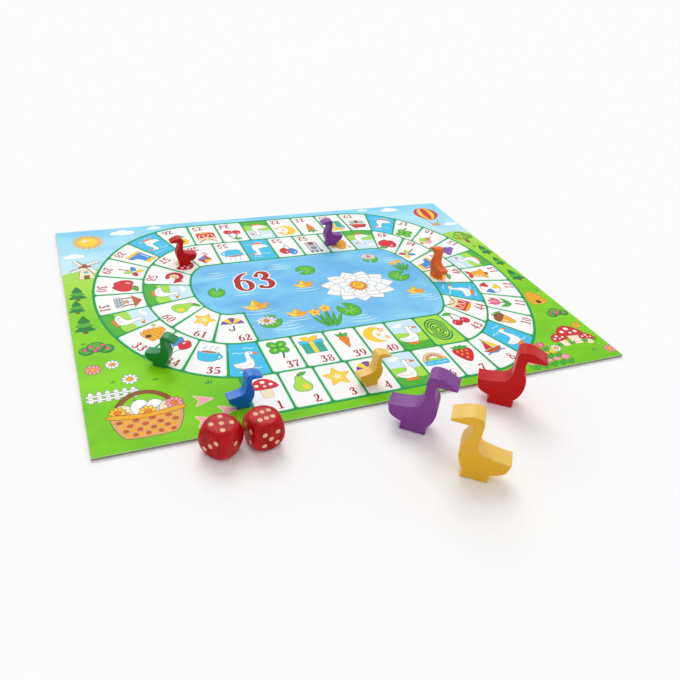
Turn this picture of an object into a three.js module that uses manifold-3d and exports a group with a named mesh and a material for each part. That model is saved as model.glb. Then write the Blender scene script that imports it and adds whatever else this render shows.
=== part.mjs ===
// Game of the goose set: a laminated board, goose pawns and two dice, laid out for play.
// Millimetres, +Z up. The origin is the middle of the board's underside, which lies on the table.
// +X runs along the board's long edge and +Y away from the player at the front edge.
import * as THREE from 'three';
import { mergeVertices } from 'three/addons/utils/BufferGeometryUtils.js';
import Module from 'manifold-3d';

// Board
const BOARD_LENGTH = 400;
const BOARD_WIDTH = 300;
const CORE_THICKNESS = 1.6;
const FACE_SHEET_THICKNESS = 0.2;
const BACK_SHEET_THICKNESS = 0.2;

// Goose pawns: length runs from beak to tail, thickness across the slice
const SMALL_PAWN = {
  height: 26,
  length: 22.9,
  thickness: 7.7,
  footLength: 9.6,
  footHeight: 2.5,
  edgeRound: 0.35,
};
const LARGE_PAWN = {
  height: 46,
  length: 40.5,
  thickness: 13.6,
  footLength: 17,
  footHeight: 4.4,
  edgeRound: 0.6,
};
const PAWN_STAND_GAP = 0.1;

// Dice: cubes turned down to a ball, which rounds off their edges and corners
const DIE_EDGE = 21.2;
const DIE_BALL_DIAMETER = 28;
const PIP_DIAMETER = 3.2;
const PIP_DEPTH = 0.5;
const PIP_PITCH = 4.3;
const DICE_GAP = 0.4;

// Places on the board, as shares of its half length and half width, and the turn of each pawn in degrees
const BOARD_PAWNS = [
  { name: 'pawn_red', color: 0xae1216, across: -0.494, along: 0.458, turn: 182 },
  { name: 'pawn_purple', color: 0x6e3c7c, across: 0.223, along: 0.52, turn: 180 },
  { name: 'pawn_orange', color: 0xd8601f, across: 0.582, along: -0.012, turn: 94 },
  { name: 'pawn_green', color: 0x1f6e33, across: -0.724, along: -0.474, turn: -35 },
  { name: 'pawn_blue', color: 0x0b56a8, across: -0.518, along: -0.852, turn: 3 },
  { name: 'pawn_yellow', color: 0xd9a51e, across: -0.059, along: -0.857, turn: 3 },
];

// Places in front of the board: sideways from its middle, and the clear gaps that set each pawn's distance
const LARGE_PURPLE = { color: 0x6e3c7c, sideways: -1.2, gap: 7.1, turn: -40 };
const LARGE_RED = { color: 0xae1216, sideways: 71.2, gap: 0.5, turn: -37 };
const LARGE_YELLOW = { color: 0xd9a51e, sideways: 14.7, gap: 11.7, turn: 142 };
// The dice stand this far clear of the board's edge, and their round sides lean over it
const LEFT_DIE = { sideways: -126.3, gap: 0.35, turn: -52 };
const RIGHT_DIE = { gap: 0.35, turn: 9 };

// Fineness of the round stretches
const OUTLINE_STEPS = 6;
const EDGE_STEPS = 1;
const BALL_SIDES = 36;
const BALL_RINGS = 18;
const PIP_SIDES = 10;
const PIP_RINGS = 10;

const BOARD_TOP = BACK_SHEET_THICKNESS + CORE_THICKNESS + FACE_SHEET_THICKNESS;
const FRONT_EDGE = -BOARD_WIDTH / 2;
const DIE_BALL_RADIUS = DIE_BALL_DIAMETER / 2;
const DIE_HALF = Math.min(DIE_EDGE / 2, DIE_BALL_RADIUS);

const { degToRad } = THREE.MathUtils;
const wasm = await Module();
wasm.setup();

const group = new THREE.Group();

function addPiece(name, geometry, look) {
  const mesh = new THREE.Mesh(geometry, new THREE.MeshStandardMaterial(look));
  mesh.name = name;
  group.add(mesh);
  return mesh;
}

// Board: core with a sheet glued to each side
function addBoardLayer(name, thickness, bottom, look) {
  const layer = addPiece(name, new THREE.BoxGeometry(BOARD_LENGTH, BOARD_WIDTH, thickness), look);
  layer.position.z = bottom + thickness / 2;
}

addBoardLayer('board_back_sheet', BACK_SHEET_THICKNESS, 0, { color: 0xf2f0ea, roughness: 0.8 });
addBoardLayer('board_core', CORE_THICKNESS, BACK_SHEET_THICKNESS, { color: 0x8a8a70, roughness: 0.95 });
addBoardLayer('board_face_sheet', FACE_SHEET_THICKNESS, BACK_SHEET_THICKNESS + CORE_THICKNESS, {
  color: 0x9fdc7a,
  roughness: 0.45,
});

// Goose outline, facing +x, with x = 0 at the middle of the foot. Its curves are shares of length and height.
function gooseShape({ height, length, footLength, footHeight }) {
  const x = (share) => share * length;
  const y = (share) => share * height;
  const halfFoot = footLength / 2;
  const waist = footHeight + y(0.035);
  const shape = new THREE.Shape();
  shape.moveTo(-halfFoot, 0);
  shape.lineTo(halfFoot, 0);
  shape.lineTo(halfFoot, footHeight);
  // breast and throat
  shape.lineTo(x(0.193), waist);
  shape.bezierCurveTo(x(0.284), y(0.2), x(0.341), y(0.365), x(0.298), y(0.54));
  shape.quadraticCurveTo(x(0.193), y(0.705), x(0.233), y(0.855));
  // beak and head
  shape.lineTo(x(0.532), y(0.858));
  shape.lineTo(x(0.54), y(0.898));
  shape.bezierCurveTo(x(0.432), y(0.925), x(0.352), y(1), x(0.205), y(1));
  shape.bezierCurveTo(x(0.097), y(1), x(0.059), y(0.965), x(0.059), y(0.88));
  // neck, back and tail
  shape.bezierCurveTo(x(0.059), y(0.6), x(0.114), y(0.455), x(-0.114), y(0.425));
  shape.quadraticCurveTo(x(-0.307), y(0.38), x(-0.46), y(0.385));
  shape.lineTo(x(-0.426), y(0.255));
  shape.bezierCurveTo(x(-0.392), y(0.19), x(-0.318), y(0.165), x(-0.195), waist);
  shape.lineTo(-halfFoot, footHeight);
  shape.closePath();
  return shape;
}

// The slice stands upright: its outline is in the XZ plane and its thickness is centred on y = 0
function goosePawn(size) {
  const geometry = new THREE.ExtrudeGeometry(gooseShape(size), {
    depth: size.thickness - 2 * size.edgeRound,
    curveSegments: OUTLINE_STEPS,
    bevelThickness: size.edgeRound,
    bevelSize: size.edgeRound,
    bevelOffset: -size.edgeRound,
    bevelSegments: EDGE_STEPS,
  });
  geometry.translate(0, 0, size.edgeRound - size.thickness / 2);
  geometry.rotateX(Math.PI / 2);
  return geometry;
}

function addPawn(name, size, color, place, turn) {
  const pawn = addPiece(name, goosePawn(size), { color, roughness: 0.3 });
  pawn.position.copy(place);
  pawn.rotation.z = degToRad(turn);
}

for (const { name, color, across, along, turn } of BOARD_PAWNS) {
  const place = new THREE.Vector3(
    (across * BOARD_LENGTH) / 2,
    (along * BOARD_WIDTH) / 2,
    BOARD_TOP + PAWN_STAND_GAP,
  );
  addPawn(name, SMALL_PAWN, color, place, turn);
}

// How far a turned pawn reaches forward or back from its middle
function pawnReach({ length, thickness }, turn) {
  const angle = degToRad(turn);
  return (length / 2) * Math.abs(Math.sin(angle)) + (thickness / 2) * Math.abs(Math.cos(angle));
}

function addLargePawn(name, { color, sideways, gap, turn }, behind) {
  const forward = behind - gap - pawnReach(LARGE_PAWN, turn);
  addPawn(name, LARGE_PAWN, color, new THREE.Vector3(sideways, forward, 0), turn);
  return forward - pawnReach(LARGE_PAWN, turn);
}

const purpleFront = addLargePawn('large_pawn_purple', LARGE_PURPLE, FRONT_EDGE);
addLargePawn('large_pawn_red', LARGE_RED, FRONT_EDGE);
addLargePawn('large_pawn_yellow', LARGE_YELLOW, purpleFront);

// Solids for the cuts
function toSolid(geometry) {
  const bare = geometry.clone();
  bare.deleteAttribute('normal');
  bare.deleteAttribute('uv');
  const merged = mergeVertices(bare);
  const vertProperties = new Float32Array(merged.attributes.position.array);
  const triVerts = new Uint32Array(merged.index.array);
  return new wasm.Manifold(new wasm.Mesh({ numProp: 3, vertProperties, triVerts }));
}

function toGeometry(solid) {
  const { vertProperties, triVerts } = solid.getMesh();
  const geometry = new THREE.BufferGeometry();
  geometry.setAttribute('position', new THREE.BufferAttribute(vertProperties, 3));
  geometry.setIndex(new THREE.BufferAttribute(triVerts, 1));
  geometry.computeVertexNormals();
  return geometry;
}

// Pips of each face on a grid of steps from the face's middle
const PIPS = {
  1: [[0, 0]],
  2: [[-1, -1], [1, 1]],
  3: [[-1, -1], [0, 0], [1, 1]],
  4: [[-1, -1], [-1, 1], [1, -1], [1, 1]],
  5: [[-1, -1], [-1, 1], [0, 0], [1, -1], [1, 1]],
  6: [[-1, -0.5], [0, -0.5], [1, -0.5], [-1, 0.5], [0, 0.5], [1, 0.5]],
};
const SIX_ROW_STRETCH = 1.4;

// A die stands on its lowest face. The faces map gives the pips seen from above, front, back, left and right.
function dieGeometry(faces) {
  const pipRadius = PIP_DIAMETER / 2;
  const cutterRadius = (pipRadius ** 2 + PIP_DEPTH ** 2) / (2 * PIP_DEPTH);
  const cutterHeight = DIE_HALF + cutterRadius - PIP_DEPTH;
  const turns = {
    top: new THREE.Euler(0, 0, 0),
    bottom: new THREE.Euler(Math.PI, 0, 0),
    front: new THREE.Euler(Math.PI / 2, 0, 0),
    back: new THREE.Euler(-Math.PI / 2, 0, 0),
    left: new THREE.Euler(0, -Math.PI / 2, 0),
    right: new THREE.Euler(0, Math.PI / 2, 0),
  };
  const cube = new THREE.BoxGeometry(DIE_EDGE, DIE_EDGE, DIE_EDGE);
  const ball = new THREE.SphereGeometry(DIE_BALL_RADIUS, BALL_SIDES, BALL_RINGS);
  let die = toSolid(cube).intersect(toSolid(ball));
  for (const [side, count] of Object.entries(faces)) {
    const faceTurn = new THREE.Matrix4().makeRotationFromEuler(turns[side]);
    const rowStretch = count === 6 ? SIX_ROW_STRETCH : 1;
    for (const [column, row] of PIPS[count]) {
      const cutter = new THREE.SphereGeometry(cutterRadius, PIP_SIDES, PIP_RINGS);
      cutter.rotateX(Math.PI / 2);
      cutter.translate(column * PIP_PITCH, row * rowStretch * PIP_PITCH, cutterHeight);
      cutter.applyMatrix4(faceTurn);
      die = die.subtract(toSolid(cutter));
    }
  }
  return toGeometry(die);
}

// How far a turned die reaches from its middle along X or Y: to the rim of a face, or to the ball between faces
function dieReach(turn) {
  const rim = Math.min(DIE_HALF, Math.sqrt(DIE_BALL_RADIUS ** 2 - DIE_HALF ** 2));
  const shares = [Math.abs(Math.cos(degToRad(turn))), Math.abs(Math.sin(degToRad(turn)))];
  const facing = Math.max(...shares);
  const aside = Math.min(...shares);
  return facing * DIE_BALL_RADIUS > DIE_HALF ? DIE_HALF * facing + rim * aside : DIE_BALL_RADIUS;
}

// The same at the height of the board's face, where the die is narrower
function dieReachAtBoard(turn) {
  const belowMiddle = DIE_HALF - BOARD_TOP;
  return Math.min(dieReach(turn), Math.sqrt(DIE_BALL_RADIUS ** 2 - belowMiddle ** 2));
}

function addDie(name, faces, sideways, { gap, turn }) {
  const die = addPiece(name, dieGeometry(faces), { color: 0xa8232c, roughness: 0.25 });
  die.position.set(sideways, FRONT_EDGE - gap - dieReachAtBoard(turn), DIE_HALF);
  die.rotation.z = degToRad(turn);
}

const rightDieSideways = LEFT_DIE.sideways + dieReach(LEFT_DIE.turn) + DICE_GAP + dieReach(RIGHT_DIE.turn);
addDie('die_left', { top: 5, bottom: 2, front: 3, back: 4, right: 1, left: 6 }, LEFT_DIE.sideways, LEFT_DIE);
addDie('die_right', { top: 6, bottom: 1, front: 5, back: 2, left: 4, right: 3 }, rightDieSideways, RIGHT_DIE);

export default group;
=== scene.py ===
"""Looks of a game of the goose set: a printed board, goose pawns and two dice on a pale studio floor.

Blender works in metres. The print and the named sizes below are in millimetres where no comment says
otherwise.
"""
import math
import random

import bpy
import numpy as np
from mathutils import Matrix, Vector
from mathutils.geometry import delaunay_2d_cdt


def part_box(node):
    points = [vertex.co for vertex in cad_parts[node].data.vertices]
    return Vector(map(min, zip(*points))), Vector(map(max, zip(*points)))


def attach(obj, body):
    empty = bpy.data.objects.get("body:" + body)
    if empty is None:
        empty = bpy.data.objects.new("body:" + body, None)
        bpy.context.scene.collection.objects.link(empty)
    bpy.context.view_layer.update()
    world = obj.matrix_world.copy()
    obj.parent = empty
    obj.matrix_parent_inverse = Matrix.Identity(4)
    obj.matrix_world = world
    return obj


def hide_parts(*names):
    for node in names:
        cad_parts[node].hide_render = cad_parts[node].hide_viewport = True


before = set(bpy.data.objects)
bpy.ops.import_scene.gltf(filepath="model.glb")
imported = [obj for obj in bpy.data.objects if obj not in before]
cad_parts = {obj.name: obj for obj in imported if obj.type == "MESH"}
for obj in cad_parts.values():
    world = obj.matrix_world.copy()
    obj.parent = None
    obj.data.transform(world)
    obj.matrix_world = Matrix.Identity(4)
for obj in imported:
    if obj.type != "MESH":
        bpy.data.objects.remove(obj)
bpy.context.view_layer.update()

MM = 0.001
SHARP_TURN = 25.0
CORNER_STEPS = 3
CURVE_STEPS = 4
WHITE = (1.0, 1.0, 1.0, 1.0)

# Camera: where it stands, the point of the board it looks at, and its lens
IMAGE_SIZE = 680
CAMERA_PLACE = (-201.2, -440.9, 282.2)
CAMERA_AIM = (-29.6, -70.3, 2.0)
CAMERA_ROLL = 5.97
FOCAL_PIXELS = 654.8
SENSOR_WIDTH = 36.0
AXIS_LEFT_OF_MIDDLE = 25
CLIP_START = 10.0

# Studio: floor sizes in metres, the strength of each light, the lamp's spread in degrees and the way to it
FLOOR_REACH = 20.0
FLOOR_DROP = 0.0002
SKY_LIGHT = 0.7
BACKDROP_LIGHT = 0.978
LAMP_LIGHT = 1.15
LAMP_SPREAD = 38
LAMP_WAY = (0.1, 0.64, 0.76)

# Pawns: the way each one faces, in degrees, and sizes as shares of a pawn's height
PAWN_TURNS = {
    "pawn_red": 182,
    "pawn_purple": 180,
    "pawn_orange": 94,
    "pawn_green": -35,
    "pawn_blue": 3,
    "pawn_yellow": 3,
    "large_pawn_purple": -40,
    "large_pawn_red": -37,
    "large_pawn_yellow": 142,
}
PAWN_LENGTH = 0.8806
PAWN_THICKNESS = 0.2959
FOOT_LENGTH = 0.3694
FOOT_HEIGHT = 0.0959
WAIST_HEIGHT = 0.1309
PAWN_EDGE_ROUND = 0.0132
PAWN_CORNER_ROUND = 0.011
# Rows of points over a pawn's rounded edge, and how many roundings deep its worn edge reaches
EDGE_ROWS = 5
WORN_REACH = 2.2

# Dice: turns in degrees, the pips on each side, and sizes in millimetres
DICE = {
    "die_left": (-52, {"top": 5, "bottom": 2, "front": 3, "back": 4, "right": 1, "left": 6}),
    "die_right": (9, {"top": 6, "bottom": 1, "front": 5, "back": 2, "left": 4, "right": 3}),
}
DIE_BALL_DIAMETER = 28.0
DIE_RIM_POWER = 16
PIP_DIAMETER = 3.2
PIP_DEPTH = 0.5
PIP_PITCH = 4.3
SIX_ROW_STRETCH = 1.4
# Mesh of a die: lines to a side, how far they keep from a pip, and a pip's rings as shares of its radius
DIE_LINES = 37
DIE_WELD = 1e-5
PIP_MARGIN = 0.35
PIP_RINGS = (1.1, 1, 0.9, 0.7, 0.4)
PIP_RING_POINTS = 28
PIP_PAINT_REACH = 1.01

# Track of the board: a spiral of two turns, row by row inwards
ROW = 40.0
HALF_HEIGHT = 141.0
START_X = -97.0
END_X = -71.0
TURN_X = 80.0
RIGHT_REACH = 102.5
LEFT_REACH = 99.5
RIGHT_NARROWING = 37.5
LEFT_NARROWING = 38.5
SQUARES = 62
LINE_WIDTH = 1.7
BORDER_WIDTH = 1.4
SQUARE_CORNER = 2.4
TINT_WIDTH = 0.9
TINT_CORNER = 1.9
NUMBER_HEIGHT = 8.2
NUMBER_SIDE = 4.6
NUMBER_DROP = 13.0
GOOSE_HEIGHT = 23.5
GOOSE_PLACE = (-1.2, -13.0)
MOTIF_HEIGHT = 21.5
MOTIF_RISE = 5.8
MOTIF_SHARE = 0.77
GOOSE_SQUARES = (5, 9, 14, 18, 23, 27, 32, 36, 41, 45, 50, 54, 59)
MAZE_SQUARE = 42
OUTLINE_WIDTH = 0.42
GRASS_TUFTS = 60
GRASS_SEED = 63
# The last number, on the pond, with its white rim
LAST_NUMBER = SQUARES + 1
LAST_PLACE = (-48, 26)
LAST_HEIGHT = 30
LAST_RIM = 1.1

# Printing inks, and washes by their lowest and highest y, run of colours, scale and strength of patches
INKS = {
    "white": "FDFEFC",
    "mint": "DDF9E9",
    "line": "129A4C",
    "number": "B5121B",
    "lime": "A9E34A",
    "leaf": "4DB52E",
    "forest": "1F7F3B",
    "teal": "27B29A",
    "cream": "FBEBC8",
    "yellow": "FFD735",
    "honey": "F5B021",
    "orange": "F18722",
    "rust": "C8601F",
    "tan": "E0AA6C",
    "brown": "945524",
    "umber": "5F351A",
    "rose": "F9A7B4",
    "pink": "EE6790",
    "red": "DA2731",
    "maroon": "9C1620",
    "lilac": "C39DDB",
    "purple": "7F4DA6",
    "mist": "D3EEFB",
    "aqua": "3FC4EF",
    "blue": "428FDE",
    "navy": "225AA8",
    "grey": "CDD3DA",
    "slate": "808B94",
    "soot": "2E2927",
}
WASHES = {
    "sky": (60, 150, ((0, "C4EAF9"), (0.5, "A2DFF7"), (1, "7DD0F3")), 22, 0.7),
    "meadow": (-150, 90, ((0, "6EC40A"), (0.6, "7CCC10"), (1, "A8DC3A")), 18, 0.6),
    "pond": (-60, 62, ((0, "73BEF0"), (0.5, "62B3EC"), (1, "6CBBEF")), 26, 0.8),
}
# Share of the sheet's flat map that holds its edges and underside, and how near its points may lie in mm
MAP_STRIP = 0.03
SHEET_WELD = 1e-4


def linear(code):
    """The linear colour of an sRGB code such as FFD735, with full alpha."""
    levels = [int(code[k:k + 2], 16) / 255 for k in (0, 2, 4)]
    return tuple(v / 12.92 if v <= 0.04045 else ((v + 0.055) / 1.055) ** 2.4 for v in levels) + (1.0,)


# Lines and outlines

def compass(turn):
    """A step of one unit in the direction of a turn, in degrees."""
    return np.array([math.cos(math.radians(turn)), math.sin(math.radians(turn))])


def curve(points, closed=True):
    """A smooth line through the points."""
    points = np.asarray(points, float)
    if closed:
        before, after, beyond = (np.roll(points, k, axis=0) for k in (1, -1, -2))
        starts = points
    else:
        ends = np.vstack([2 * points[0] - points[1], points, 2 * points[-1] - points[-2]])
        before, starts, after, beyond = ends[:-3], ends[1:-2], ends[2:-1], ends[3:]
    p0, p1, p2, p3 = (p[:, None, :] for p in (before, starts, after, beyond))
    t = (np.arange(CURVE_STEPS) / CURVE_STEPS)[None, :, None]
    bends = (2 * p0 - 5 * p1 + 4 * p2 - p3) * t ** 2 + (3 * p1 - p0 - 3 * p2 + p3) * t ** 3
    line = (p1 + 0.5 * ((p2 - p0) * t + bends)).reshape(-1, 2)
    return line if closed else np.vstack([line, points[-1:]])


def bezier(points, steps=10):
    """A Bezier curve of any degree, without its first point."""
    points = np.asarray(points, float)
    degree = len(points) - 1
    t = np.linspace(0, 1, steps + 1)[1:, None]
    return sum(math.comb(degree, k) * t ** k * (1 - t) ** (degree - k) * points[k] for k in range(degree + 1))


def oval(x, y, rx, ry=None, turn=0.0, start=0.0, sweep=360.0, count=16):
    """Points of an oval, or of an arc of it where the sweep is less than a full turn."""
    ry = rx if ry is None else ry
    steps = np.arange(count if sweep >= 360 else count + 1) / count
    angles = np.radians(start + sweep * steps)
    c, s = compass(turn)
    u, v = rx * np.cos(angles), ry * np.sin(angles)
    return np.stack([x + c * u - s * v, y + s * u + c * v], 1)


def bow(outer, inner, start, sweep, count=16):
    """The band between two arcs, each given by the middle and the radii of its oval."""
    far, near = (oval(*sizes, start=start, sweep=sweep, count=count) for sizes in (outer, inner))
    return np.vstack([far, near[::-1]])


def box(left, bottom, right, top):
    return np.array([(left, bottom), (right, bottom), (right, top), (left, top)], float)


def both_sides(half):
    """A ring that mirrors its right half, given from the bottom to the top, at x = 0."""
    half = [tuple(p) for p in half]
    return half + [(-x, y) for x, y in reversed(half) if x != 0]


def corner_normals(ring):
    """Outward steps at the corners of a ring that move all its sides by one unit."""
    x, y = ring.T
    way_round = np.sign(np.sum(x * np.roll(y, -1) - np.roll(x, -1) * y))
    ahead = np.roll(ring, -1, axis=0) - ring
    ahead = ahead / np.maximum(np.linalg.norm(ahead, axis=1, keepdims=True), 1e-9)
    normal = np.stack([ahead[:, 1], -ahead[:, 0]], 1) * way_round
    last = np.roll(normal, 1, axis=0)
    spread = np.maximum(1 + np.sum(normal * last, axis=1, keepdims=True), 0.4)
    return (normal + last) / spread


def widen(ring, by):
    """The ring with its sides moved outwards."""
    ring = np.asarray(ring, float)
    return ring + by * corner_normals(ring)


def turnings(ring):
    """How far the ring turns at each of its points, in degrees."""
    ahead = np.roll(ring, -1, axis=0) - ring
    way = np.degrees(np.arctan2(ahead[:, 1], ahead[:, 0]))
    return np.abs((way - np.roll(way, 1) + 180) % 360 - 180)


def round_corners(ring, radius, sharp=None):
    """The ring with a short curve in place of each sharp corner, which turns by more than SHARP_TURN."""
    ring = np.asarray(ring, float)
    sharp = turnings(ring) > SHARP_TURN if sharp is None else sharp
    rounded = []
    for k, corner in enumerate(ring):
        if not sharp[k]:
            rounded.append(corner)
            continue
        back, ahead = ring[k - 1] - corner, ring[(k + 1) % len(ring)] - corner
        long_back, long_ahead = np.linalg.norm(back), np.linalg.norm(ahead)
        cut = min(radius, 0.45 * long_back, 0.45 * long_ahead)
        first, last = corner + back * cut / long_back, corner + ahead * cut / long_ahead
        rounded.append(first)
        rounded.extend(bezier([first, corner, last], CORNER_STEPS))
    return np.array(rounded)


def ribbon(points, widths):
    """The outline of a stroke along the points. Its width runs through the given widths."""
    ahead = np.gradient(points, axis=0)
    across = np.stack([-ahead[:, 1], ahead[:, 0]], 1)
    across = across / np.maximum(np.linalg.norm(across, axis=1, keepdims=True), 1e-9)
    shares = np.linspace(0, 1, len(points))
    half = np.interp(shares, np.linspace(0, 1, len(widths)), widths)[:, None] / 2
    return np.vstack([points + across * half, (points - across * half)[::-1]])


def hoop(outer, inner):
    """One ring for the area between an outer and an inner ring that run the same way."""
    hole = inner[::-1]
    return np.vstack([outer, outer[:1], hole, hole[:1]])


# The goose from its breast round to its tail in shares of its length and height. Each stretch goes on from
# the end of the last one, as a straight line where it has one point and as a Bezier curve where it has more.
GOOSE_STRETCHES = (
    [(0.193, WAIST_HEIGHT)],
    [(0.284, 0.2), (0.341, 0.365), (0.298, 0.54)],
    [(0.193, 0.705), (0.233, 0.855)],
    [(0.532, 0.858)],
    [(0.54, 0.898)],
    [(0.432, 0.925), (0.352, 1), (0.205, 1)],
    [(0.097, 1), (0.059, 0.965), (0.059, 0.88)],
    [(0.059, 0.6), (0.114, 0.455), (-0.114, 0.425)],
    [(-0.307, 0.38), (-0.46, 0.385)],
    [(-0.426, 0.255)],
    [(-0.392, 0.19), (-0.318, 0.165), (-0.195, WAIST_HEIGHT)],
)


def goose_outline(height, steps=10):
    """A goose seen from its right side, standing on y = 0 with the middle of its foot at x = 0."""
    foot = FOOT_LENGTH * height / 2
    ring = [(-foot, 0), (foot, 0), (foot, FOOT_HEIGHT * height)]
    for stretch in GOOSE_STRETCHES:
        points = [(x * PAWN_LENGTH * height, y * height) for x, y in stretch]
        ring.extend(bezier([ring[-1]] + points, steps) if len(points) > 1 else points)
    ring.append((-foot, FOOT_HEIGHT * height))
    return np.array(ring)


# Drawing

class Pen:
    """Adds inked areas to a list, the later ones over the earlier, at a place, turn and size of its own.

    Where the pen has a limit, only what lies inside that ring is printed.
    """

    def __init__(self, areas, place=(0.0, 0.0), axes=((1.0, 0.0), (0.0, 1.0)), limit=None):
        self.areas = areas
        self.place = np.array(place, float)
        self.axes = np.array(axes, float)
        self.limit = limit
        self.size = math.sqrt(abs(np.linalg.det(self.axes)))

    def within(self, ring):
        """The same pen with the ring as its limit."""
        return Pen(self.areas, self.place, self.axes, ring)

    def at(self, x, y, turn=0.0, size=1.0):
        """A pen for a motif with its middle at x, y."""
        c, s = size * compass(turn)
        axes = np.array([[c, s], [-s, c]]) @ self.axes
        return Pen(self.areas, self.place + np.array([x, y]) @ self.axes, axes, self.limit)

    def put(self, motif, *spots):
        """The motif at each spot, which is x, y and, where need be, the turn and the size."""
        for spot in spots:
            motif(self.at(*spot))

    def area(self, ink, points, edge=None):
        """A filled area, with a thin outline in the edge ink if there is one."""
        ring = np.asarray(points, float)
        if edge:
            self.area(edge, widen(ring, OUTLINE_WIDTH / self.size))
        self.areas.append((ink, self.place + ring @ self.axes, self.limit))

    def blob(self, ink, points, edge=None):
        self.area(ink, curve(points), edge)

    def oval(self, ink, x, y, rx, ry=None, turn=0.0, edge=None, count=14):
        self.area(ink, oval(x, y, rx, ry, turn, count=count), edge)

    def dots(self, ink, places, *radii, **more):
        """The same oval at each of the places."""
        for x, y in places:
            self.oval(ink, x, y, *radii, **more)

    def stroke(self, ink, points, *widths):
        points = np.asarray(points, float)
        line = curve(points, closed=False) if len(points) > 2 else points
        self.area(ink, ribbon(line, widths))

    def leaf(self, ink, base, tip, width, edge=None, fullest=0.8, count=7):
        """A pointed leaf from its base to its tip."""
        base, tip = np.array(base, float), np.array(tip, float)
        ahead = tip - base
        side = np.array([-ahead[1], ahead[0]]) * width / (2 * np.linalg.norm(ahead))
        shares = np.linspace(0, 1, count)[:, None]
        bulge = np.sin(np.pi * shares ** fullest) * side
        middle = base + shares * ahead
        self.area(ink, np.vstack([middle - bulge, (middle + bulge)[-2:0:-1]]), edge)

    def green(self, base, tip, width, fullest=0.8):
        self.leaf("leaf", base, tip, width, "forest", fullest)

    def petals(self, ink, x, y, count, inner, outer, width, turn=0.0, edge=None, fullest=1.1):
        for k in range(count):
            way = compass(turn + 360 * k / count)
            self.leaf(ink, (x, y) + inner * way, (x, y) + outer * way, width, edge, fullest)

    def slices(self, inks, x, y, radius, start, sweep):
        """A slice of a round cake in each of the inks."""
        for k, ink in enumerate(inks):
            arc = oval(x, y, radius, start=start + sweep * k, sweep=sweep, count=3)
            self.area(ink, np.vstack([arc, (x, y)]))

    def bar(self, ink, left, bottom, right, top, edge=None):
        self.area(ink, box(left, bottom, right, top), edge)


# Numbers

def swash(points, *widths):
    return ribbon(curve(points, closed=False), widths)


def eye(y, rx, ry, hole_x, hole_y):
    return hoop(oval(0.31, y, rx, ry, count=20), oval(0.31, y, hole_x, hole_y, count=14))


def drop(x, y, radius):
    return oval(x, y, radius, count=10)


# Areas of bold numerals, one unit high
NUMERALS = {
    0: [eye(0.5, 0.29, 0.5, 0.12, 0.43)],
    1: [
        box(0.23, 0, 0.41, 1),
        [(0.08, 0.8), (0.3, 0.8), (0.41, 1), (0.34, 1)],
        box(0.09, 0, 0.55, 0.08),
    ],
    2: [
        swash([(0.1, 0.7), (0.2, 0.92), (0.38, 0.9), (0.44, 0.68), (0.3, 0.38), (0.08, 0.1)],
              0.1, 0.08, 0.15, 0.2, 0.16, 0.08),
        [(0.04, 0), (0.55, 0), (0.6, 0.28), (0.54, 0.28), (0.46, 0.16), (0.04, 0.12)],
        drop(0.14, 0.7, 0.08),
    ],
    3: [
        swash([(0.12, 0.76), (0.24, 0.93), (0.42, 0.86), (0.4, 0.66), (0.22, 0.54)],
              0.08, 0.1, 0.19, 0.16, 0.08),
        swash([(0.22, 0.55), (0.42, 0.46), (0.46, 0.26), (0.34, 0.07), (0.1, 0.1)],
              0.08, 0.16, 0.2, 0.12, 0.1),
        drop(0.13, 0.76, 0.08),
        drop(0.12, 0.14, 0.09),
    ],
    4: [
        box(0.34, 0, 0.51, 0.99),
        box(0.02, 0.24, 0.6, 0.36),
        [(0.02, 0.24), (0.1, 0.24), (0.46, 0.88), (0.46, 1), (0.42, 1)],
        box(0.26, 0, 0.59, 0.07),
    ],
    5: [
        [(0.13, 0.82), (0.5, 0.82), (0.56, 1), (0.13, 1)],
        box(0.11, 0.48, 0.17, 1),
        swash([(0.13, 0.5), (0.32, 0.57), (0.46, 0.42), (0.42, 0.16), (0.12, 0.08)],
              0.06, 0.12, 0.2, 0.17, 0.1),
        drop(0.12, 0.14, 0.09),
    ],
    6: [
        eye(0.31, 0.28, 0.32, 0.11, 0.25),
        swash([(0.14, 0.3), (0.16, 0.6), (0.32, 0.86), (0.53, 0.98)], 0.14, 0.18, 0.12, 0.05),
    ],
    7: [
        [(0.06, 0.7), (0.11, 0.7), (0.15, 0.82), (0.58, 0.82), (0.58, 0.98), (0.06, 0.98)],
        swash([(0.53, 0.9), (0.36, 0.56), (0.27, 0.28), (0.25, 0)], 0.07, 0.14, 0.18, 0.19),
    ],
    8: [eye(0.76, 0.23, 0.24, 0.1, 0.17), eye(0.28, 0.28, 0.29, 0.12, 0.2)],
}
NUMERALS[9] = [(0.62, 1.0) - ring for ring in NUMERALS[6]]
NUMERAL_STEP = 0.64


def number(pen, value, x, y, height, ink="number"):
    """A number with its middle at x, y."""
    step = NUMERAL_STEP * height
    left = x - step * len(str(value)) / 2
    for k, digit in enumerate(str(value)):
        for ring in NUMERALS[int(digit)]:
            pen.area(ink, np.array(ring) * height + (left + k * step, y - height / 2))


# Motifs of the squares, about 16 mm across

def apple(pen):
    half = [(0, -6.6), (3, -7.2), (6.6, -2.5), (6.4, 2.6), (3.2, 4.6), (0, 3.4)]
    pen.blob("red", both_sides(half), "maroon")
    pen.oval("rose", -3.4, 1.4, 1.1, 2, -20)
    pen.stroke("umber", [(0, 3), (0.4, 6), (1.8, 8)], 1.3)
    pen.green((0.8, 5.4), (6.4, 8), 3.4)


def pear(pen):
    pen.blob("lime", both_sides([(0, -7.6), (4.4, -6.4), (5.4, -2), (2.9, 2.2), (2, 6), (0, 7)]), "forest")
    pen.oval("yellow", 1.8, -3.4, 2, 2.6)
    pen.stroke("umber", [(0, 6.4), (0.7, 9)], 1.2)
    pen.green((0.6, 7.6), (6, 9.6), 2.8)


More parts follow.
